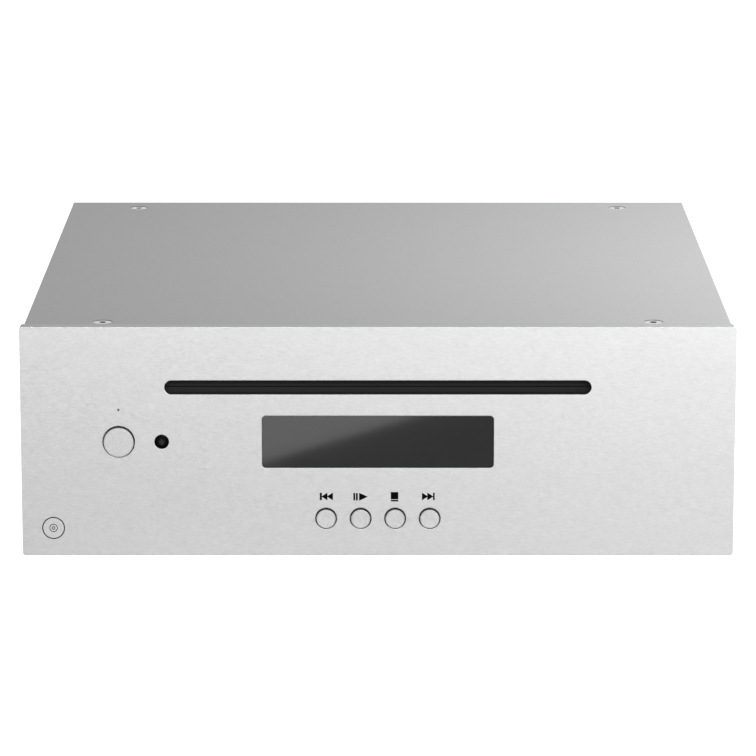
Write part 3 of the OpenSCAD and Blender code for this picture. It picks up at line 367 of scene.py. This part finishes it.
def felt():
    """Black felt, with the lower strip painted lighter than the upper one as painted light and shade."""
    f = Finish("dust_lips")
    fibres = f.noise((2600, 2600, 700), detail=6.0, roughness=0.75, distortion=1.5)
    low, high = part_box("dust_lips")
    height = f.add("SeparateXYZ", {0: f.place}).outputs["Z"]
    # Painted light and shade: the lower strip is painted lighter than the upper one.
    lower = f.math("LESS_THAN", height, (low.z + high.z) / 2)
    base = f.mix(lower, grey(0.0135), grey(0.022))
    f.set(
        Base_Color=f.mix(f.math("MULTIPLY", fibres, 0.4), base, grey(0.04)),
        Roughness=0.95,
        Specular_IOR_Level=0.3,
    )
    f.bump(fibres, 0.06 * MM, 0.02 * MM)
    return f


def board_green():
    """Solder mask over copper tracks, with plated holes."""
    f = Finish("circuit_boards")
    mask = (0.012, 0.075, 0.032, 1)
    track = (0.03, 0.15, 0.06, 1)
    tracks = f.add(
        "TexBrick",
        {"Vector": f.stretch((260, 260, 260)), "Scale": 1.0, "Mortar Size": 0.09, "Mortar Smooth": 0.1,
         "Brick Width": 1.7, "Row Height": 0.42},
        offset=0.37, offset_frequency=3, squash=0.6, squash_frequency=2,
    ).outputs["Fac"]
    holes = f.add("TexVoronoi", {"Vector": f.stretch((210, 210, 210)), "Scale": 1.0, "Randomness": 0.45})
    plated = f.math("LESS_THAN", holes.outputs["Distance"], 0.11)
    fine = f.noise((1800, 1800, 1800))
    body = f.mix(f.math("MULTIPLY", tracks, 0.8), mask, track)
    f.set(
        Base_Color=f.mix(plated, body, (0.72, 0.68, 0.55, 1)),
        Metallic=f.math("MULTIPLY", plated, 0.9),
        Roughness=f.remap(fine, 0.3, 0.7, 0.28, 0.42),
        Coat_Weight=0.2,
    )
    f.bump(f.math("ADD", tracks, f.math("MULTIPLY", fine, 0.1)), 0.02 * MM, 0.1 * MM)
    return f


def socket_plastic():
    """Insulators coloured by channel: white, red and orange from one side to the other."""
    f = Finish("socket_inserts")
    across = f.add("SeparateXYZ", {0: f.place}).outputs["X"]
    low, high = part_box("socket_inserts")
    places = [low.x + s * (high.x - low.x) for s in (0.25, 0.7)]
    past_first = f.math("GREATER_THAN", across, places[0])
    past_second = f.math("GREATER_THAN", across, places[1])
    white_red = f.mix(past_first, (0.8, 0.79, 0.76, 1), (0.5, 0.012, 0.012, 1))
    body = f.mix(past_second, white_red, (0.75, 0.2, 0.01, 1))
    fine = f.noise((1500, 1500, 1500))
    f.set(
        Base_Color=f.mix(f.remap(fine, 0.3, 0.7, 0.0, 0.12), body, grey(0.1)),
        Roughness=f.remap(fine, 0.3, 0.7, 0.32, 0.45),
    )
    f.bump(fine, 0.004 * MM, 0.12 * MM)
    return f


def coated_lens():
    """Objective lens with a bluish coat that turns violet away from its middle."""
    f = Finish("lens")
    fine = f.noise((900, 900, 900))
    up = f.along("Z")
    f.set(
        Base_Color=f.mix(up, (0.16, 0.1, 0.3, 1), (0.03, 0.07, 0.16, 1)),
        Roughness=f.remap(fine, 0.3, 0.7, 0.03, 0.08),
        Coat_Weight=1.0,
        Coat_Roughness=0.03,
    )
    f.bump(fine, 0.0006 * MM, 0.05 * MM)
    return f


def motor_can():
    """Drawn steel with a light plating and fine drawing lines."""
    return plain_finish(
        "motor_cans", (0.56, 0.56, 0.57), metallic=1.0, rough=0.28, spread=0.14, grain=(0.2, 1.0, 1.0),
        size=0.25 * MM, contrast=0.06, depth=0.002 * MM,
    )


STEEL = dict(metallic=1.0, grain=(1.0, 0.25, 1.0), size=0.3 * MM, depth=0.002 * MM)
MOULDED = dict(metallic=0.0, size=0.45 * MM, depth=0.006 * MM, spread=0.14)

PLAIN_FINISHES = {
    "chassis_tray": ((0.52, 0.52, 0.53), dict(STEEL, rough=0.38, contrast=0.09, size=0.8 * MM)),
    "rear_panel": ((0.42, 0.42, 0.425), dict(STEEL, rough=0.42, contrast=0.05, metallic=0.8)),
    "case_screws": ((0.62, 0.62, 0.63), dict(STEEL, rough=0.3, contrast=0.07)),
    "machine_screws": ((0.66, 0.62, 0.5), dict(STEEL, rough=0.32, contrast=0.08)),
    "feet": ((0.022, 0.022, 0.022), dict(MOULDED, rough=0.82, contrast=0.3, size=0.3 * MM)),
    "slot_liner": ((0.05, 0.05, 0.05), dict(MOULDED, rough=0.6, contrast=0.2)),
    "display_module": ((0.02, 0.045, 0.04), dict(MOULDED, rough=0.2, contrast=0.2)),
    "light_pipe": ((0.05, 0.05, 0.055), dict(MOULDED, rough=0.15, contrast=0.1)),
    "black_housings": ((0.02, 0.02, 0.021), dict(MOULDED, rough=0.5, contrast=0.25)),
    "connectors": ((0.78, 0.74, 0.62), dict(MOULDED, rough=0.42, contrast=0.05)),
    "flat_cables": ((0.6, 0.6, 0.58), dict(MOULDED, rough=0.45, contrast=0.18, grain=(1.6, 0.02, 0.02))),
    "capacitors": ((0.03, 0.05, 0.11), dict(MOULDED, rough=0.3, contrast=0.1)),
    "chips": ((0.02, 0.02, 0.02), dict(MOULDED, rough=0.6, contrast=0.3, size=0.2 * MM)),
    "socket_sleeves": ((0.83, 0.6, 0.24), dict(STEEL, rough=0.2, contrast=0.05)),
    "loader_steel": ((0.55, 0.56, 0.58), dict(STEEL, rough=0.33, contrast=0.12, size=1.6 * MM)),
    "pillars": ((0.6, 0.6, 0.6), dict(STEEL, rough=0.3, contrast=0.08)),
    "rubber_parts": ((0.02, 0.02, 0.02), dict(MOULDED, rough=0.85, contrast=0.35, size=0.3 * MM)),
    "black_plastic": ((0.028, 0.029, 0.03), dict(MOULDED, rough=0.48, contrast=0.25)),
    "gears": ((0.76, 0.73, 0.62), dict(MOULDED, rough=0.38, contrast=0.06)),
    "pinions": ((0.72, 0.52, 0.2), dict(STEEL, rough=0.25, contrast=0.06)),
    "shafts": ((0.7, 0.7, 0.71), dict(STEEL, rough=0.16, contrast=0.04)),
    "pickup_body": ((0.24, 0.245, 0.26), dict(MOULDED, rough=0.5, contrast=0.12, metallic=0.5)),
}


def make_finishes():
    finishes = {
        "front_panel": brushed_panel(),
        "top_cover": satin_cover(),
        "cover_screws": screw_finish(),
        "power_button": turned_button("power_button"),
        "transport_buttons": turned_button("transport_buttons"),
        "display_window": smoked_window(),
        "ir_window": dome_window(),
        "dust_lips": felt(),
        "circuit_boards": board_green(),
        "socket_inserts": socket_plastic(),
        "lens": coated_lens(),
        "motor_cans": motor_can(),
    }
    for name, (colour, settings) in PLAIN_FINISHES.items():
        finishes[name] = plain_finish(name, colour, **settings)
    return {name: f.material for name, f in finishes.items()}


def dress_nodes(finishes):
    """Gives each CAD node the finish that its material slot asks for."""
    for node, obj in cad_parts.items():
        for slot in obj.material_slots:
            wanted = slot.material.name.split(".")[0]
            if wanted not in finishes:
                raise KeyError(f"no finish for slot {wanted} of node {node}")
            slot.material = finishes[wanted]


# ---- Printed signs on the front panel ----

INK_T = 0.02 * MM
SIGN_UP = 6.54 * MM
MARK_IN = 9.0 * MM
MARK_UP = 8.1 * MM


def ink():
    return plain_finish(
        "printed_ink", (0.004, 0.004, 0.004), rough=0.7, contrast=0.3, size=0.12 * MM, depth=0.002 * MM,
        radius=0.01 * MM, edge_wear_and_highlight=0.0, specular=0.15,
    )


def add_plate(mesh, loop, y_front, y_back):
    """Adds one flat closed outline, given as (x, z) points, between two depths."""
    front = [mesh.verts.new((x, y_front, z)) for x, z in loop]
    back = [mesh.verts.new((x, y_back, z)) for x, z in loop]
    mesh.faces.new(front)
    mesh.faces.new(back[::-1])
    for i in range(len(loop)):
        j = (i + 1) % len(loop)
        mesh.faces.new((front[j], front[i], back[i], back[j]))


def add_ring(mesh, centre, r_in, r_out, y_front, y_back, steps=72):
    rows = []
    for radius, y in ((r_in, y_back), (r_in, y_front), (r_out, y_front), (r_out, y_back)):
        angles = (2 * math.pi * k / steps for k in range(steps))
        rows.append(
            [mesh.verts.new((centre[0] + radius * math.cos(a), y, centre[1] + radius * math.sin(a)))
             for a in angles]
        )
    for k in range(steps):
        n = (k + 1) % steps
        for row, following in zip(rows, rows[1:] + rows[:1]):
            mesh.faces.new((row[k], row[n], following[n], following[k]))


def make_sign(name, outlines, rings, material):
    mesh = bmesh.new()
    y_front = panel_low.y - INK_T
    y_back = panel_low.y + INK_T
    for loop in outlines:
        add_plate(mesh, loop, y_front, y_back)
    for centre, r_in, r_out in rings:
        add_ring(mesh, centre, r_in, r_out, y_front, y_back)
    bmesh.ops.recalc_face_normals(mesh, faces=mesh.faces)
    data = bpy.data.meshes.new(name)
    mesh.to_mesh(data)
    mesh.free()
    data.materials.append(material)
    sign = bpy.data.objects.new(name, data)
    bpy.context.scene.collection.objects.link(sign)
    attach(sign, "case")


def bar(x0, x1, z0, z1):
    return [(x0, z0), (x1, z0), (x1, z1), (x0, z1)]


def triangle(x_base, x_tip, z_middle, height):
    half = height / 2
    return [(x_base, z_middle - half), (x_tip, z_middle), (x_base, z_middle + half)]


def shifted(loops, x, z):
    return [[(x + px * MM, z + pz * MM) for px, pz in loop] for loop in loops]


# The signs' own sizes are in mm, and shifted() turns them into metres.
BAR_H = 2.2
ARROW_H = 2.3
MARK_RINGS = ((3.0, 3.3), (1.0, 1.2), (0.3, 0.5))


def make_signs():
    """Transport signs above the buttons, and a plain disc sign low on the left."""
    material = ink().material
    half = BAR_H / 2
    shapes = {
        "previous": [
            bar(-1.82, -1.22, -half, half),
            triangle(0.38, -1.36, 0, ARROW_H),
            triangle(1.98, 0.22, 0, ARROW_H),
        ],
        "play_pause": [
            bar(-2.1, -1.57, -half - 0.08, half - 0.08),
            bar(-1.36, -0.82, -half - 0.08, half - 0.08),
            triangle(-0.44, 2.08, -0.08, ARROW_H + 0.05),
        ],
        "stop": [bar(-1.27, 0.9, -0.84, 1.3), bar(-1.24, 0.9, -1.49, -1.02)],
        "next": [
            triangle(-2.24, -0.5, 0, ARROW_H),
            triangle(-0.7, 1.08, 0, ARROW_H),
            bar(0.95, 1.44, -half, half),
        ],
    }
    for name, loops in shapes.items():
        low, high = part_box(name + "_button")
        x = (low.x + high.x) / 2
        z = (low.z + high.z) / 2 + SIGN_UP
        make_sign("sign_" + name, shifted(loops, x, z), [], material)
    mark = (panel_low.x + MARK_IN, panel_low.z + MARK_UP)
    rings = [(mark, r_in * MM, r_out * MM) for r_in, r_out in MARK_RINGS]
    make_sign("sign_disc", [], rings, material)


# ---- Studio ----

FLOOR_HALF = 12.0
FLOOR_GLOW = 0.95
WORLD_LIGHT = 0.3
CARD_SLOPE = math.radians(17.2)
CARD_TURN = math.degrees(CARD_SLOPE)
CARD_AWAY = 0.08
CARD_SIZE = (0.14, 0.06)
CARD_LEFT = 10.7 * MM
CARD_DOWN = 17.3 * MM
CARD_POWER = 0.057
STRIP_BEHIND = 0.9
STRIP_UP = 0.18
STRIP_SIZE = (0.8, 0.35)
STRIP_POWER = 0.6
UNDER_POWER = 8.0
FRONT_NODES = [
    "front_panel", "power_button", "previous_button", "play_pause_button", "stop_button", "next_button",
    "slot_liner", "dust_lips", "display_window", "ir_window", "light_pipe",
]
COVER_NODES = ["top_cover", "cover_screws", "front_panel"]
REAR_NODES = [
    "rear_panel", "case_screws", "socket_housing", "socket_sleeves", "socket_inserts", "power_inlet",
]


def make_floor():
    """A white sheet that glows for the camera, so that next to no shadow shows on it."""
    f = Finish("studio_floor")
    dust = f.noise((40, 40, 40), detail=2.0)
    seen = f.add("LightPath").outputs["Is Camera Ray"]
    f.set(
        Base_Color=f.mix(dust, grey(0.9), grey(0.93)),
        Roughness=0.8,
        Specular_IOR_Level=0.2,
        Emission_Color=grey(1.0),
        Emission_Strength=f.math("MULTIPLY", seen, FLOOR_GLOW),
    )
    clear = f.add("BsdfTransparent").outputs[0]
    behind = f.add("NewGeometry").outputs["Backfacing"]
    output = f.tree.nodes["Material Output"]
    one_sided = f.add("MixShader", {0: behind, 1: f.surface.outputs[0], 2: clear})
    f.feed(output.inputs["Surface"], one_sided.outputs[0])
    low, high = -FLOOR_HALF, FLOOR_HALF
    data = bpy.data.meshes.new("studio_floor")
    corners = [(low, low, cad_low.z), (high, low, cad_low.z), (high, high, cad_low.z), (low, high, cad_low.z)]
    data.from_pydata(corners, [], [(0, 1, 2, 3)])
    data.materials.append(f.material)
    floor = bpy.data.objects.new("studio_floor", data)
    bpy.context.scene.collection.objects.link(floor)


def make_light(name, place, target, size, power, turn=0.0):
    data = bpy.data.lights.new(name, "AREA")
    data.shape = "RECTANGLE"
    data.size, data.size_y = size
    data.energy = power
    light = bpy.data.objects.new(name, data)
    light.location = place
    aim = (Vector(target) - Vector(place)).to_track_quat("-Z", "Y")
    light.rotation_mode = "QUATERNION"
    light.rotation_quaternion = aim @ Quaternion((0, 0, 1), math.radians(turn))
    bpy.context.scene.collection.objects.link(light)
    return light


def make_world():
    """Even soft light from all round, and plain white where the camera sees it."""
    world = bpy.data.worlds.new("studio")
    bpy.context.scene.world = world
    world.use_nodes = True
    tree = world.node_tree
    nodes = tree.nodes
    lit = nodes["Background"]
    lit.inputs["Color"].default_value = grey(1.0)
    lit.inputs["Strength"].default_value = WORLD_LIGHT
    seen = nodes.new("ShaderNodeBackground")
    seen.inputs["Color"].default_value = grey(1.0)
    ray = nodes.new("ShaderNodeLightPath")
    mix = nodes.new("ShaderNodeMixShader")
    tree.links.new(ray.outputs["Is Camera Ray"], mix.inputs[0])
    tree.links.new(lit.outputs[0], mix.inputs[1])
    tree.links.new(seen.outputs[0], mix.inputs[2])
    tree.links.new(mix.outputs[0], nodes["World Output"].inputs["Surface"])


def make_linked_light(name, nodes, place, target, size, power, turn=0.0):
    """A light that reaches the given nodes only, and that the camera doesn't see."""
    light = make_light(name, place, target, size, power, turn)
    light.visible_camera = False
    linked = bpy.data.collections.new(name + "_receivers")
    for node in nodes:
        linked.objects.link(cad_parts[node])
    light.light_linking.receiver_collection = linked
    return light


def make_gloss_card():
    """A softbox whose lower edge falls slantwise across the display window's gloss."""
    along = Vector((math.cos(CARD_SLOPE), 0, math.sin(CARD_SLOPE)))
    across = Vector((-along.z, 0, along.x))
    low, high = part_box("display_window")
    middle = (low + high) / 2
    edge = Vector((middle.x - CARD_LEFT, panel_low.y - CARD_AWAY, middle.z - CARD_DOWN))
    place = edge + across * CARD_SIZE[1] / 2
    target = place + Vector((0, CARD_AWAY, 0))
    make_linked_light("gloss_card", ["display_window"], place, target, CARD_SIZE, CARD_POWER, CARD_TURN)


def make_screw_card():
    """A strip behind the case that the bright screw heads mirror."""
    low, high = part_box("cover_screws")
    middle = (low + high) / 2
    place = (middle.x, middle.y + STRIP_BEHIND, high.z + STRIP_UP)
    make_linked_light("screw_card", ["cover_screws"], place, middle, STRIP_SIZE, STRIP_POWER)


def make_under_light():
    """Lights the tray and the feet from below, through the floor, for views of the underside."""
    nodes = ["chassis_tray", "feet"]
    middle = Vector((0, 0, cad_low.z))
    light = make_linked_light("under", nodes, (0.2, -0.3, -0.8), middle, (0.9, 0.9), UNDER_POWER)
    light.light_linking.blocker_collection = light.light_linking.receiver_collection


def make_studio():
    """World, floor and lights. A light with nodes reaches only those; places and sizes are in metres."""
    make_world()
    make_floor()
    centre = (0, 0, 0.04)
    right_edge = (0.1, 0, 0.07)
    make_light("back_right", (0.8, 1.0, 0.45), centre, (0.9, 0.5), 3.96)
    make_linked_light("cover_near", COVER_NODES, (0.3, 0.0, 0.3), right_edge, (0.2, 0.3), 0.98)
    make_linked_light("cover_over", COVER_NODES, (0.25, 0.1, 0.6), right_edge, (0.3, 0.3), 0.44)
    make_linked_light("cover_back", ["top_cover"], (0.45, 1.2, 0.35), centre, (0.9, 0.4), 0.23)
    make_linked_light("front", FRONT_NODES, (0.0, -1.0, 0.35), centre, (0.8, 0.3), 5.38)
    make_linked_light("front_low", FRONT_NODES, (0.5, -0.9, 0.1), centre, (0.6, 0.15), 1.31)
    make_linked_light("rear", REAR_NODES, (-0.5, 1.3, 0.5), centre, (0.9, 0.5), 9.0)
    make_gloss_card()
    make_screw_card()
    make_under_light()
    bpy.context.scene.view_settings.view_transform = "Standard"


make_camera()
dress_nodes(make_finishes())
make_signs()
make_studio()
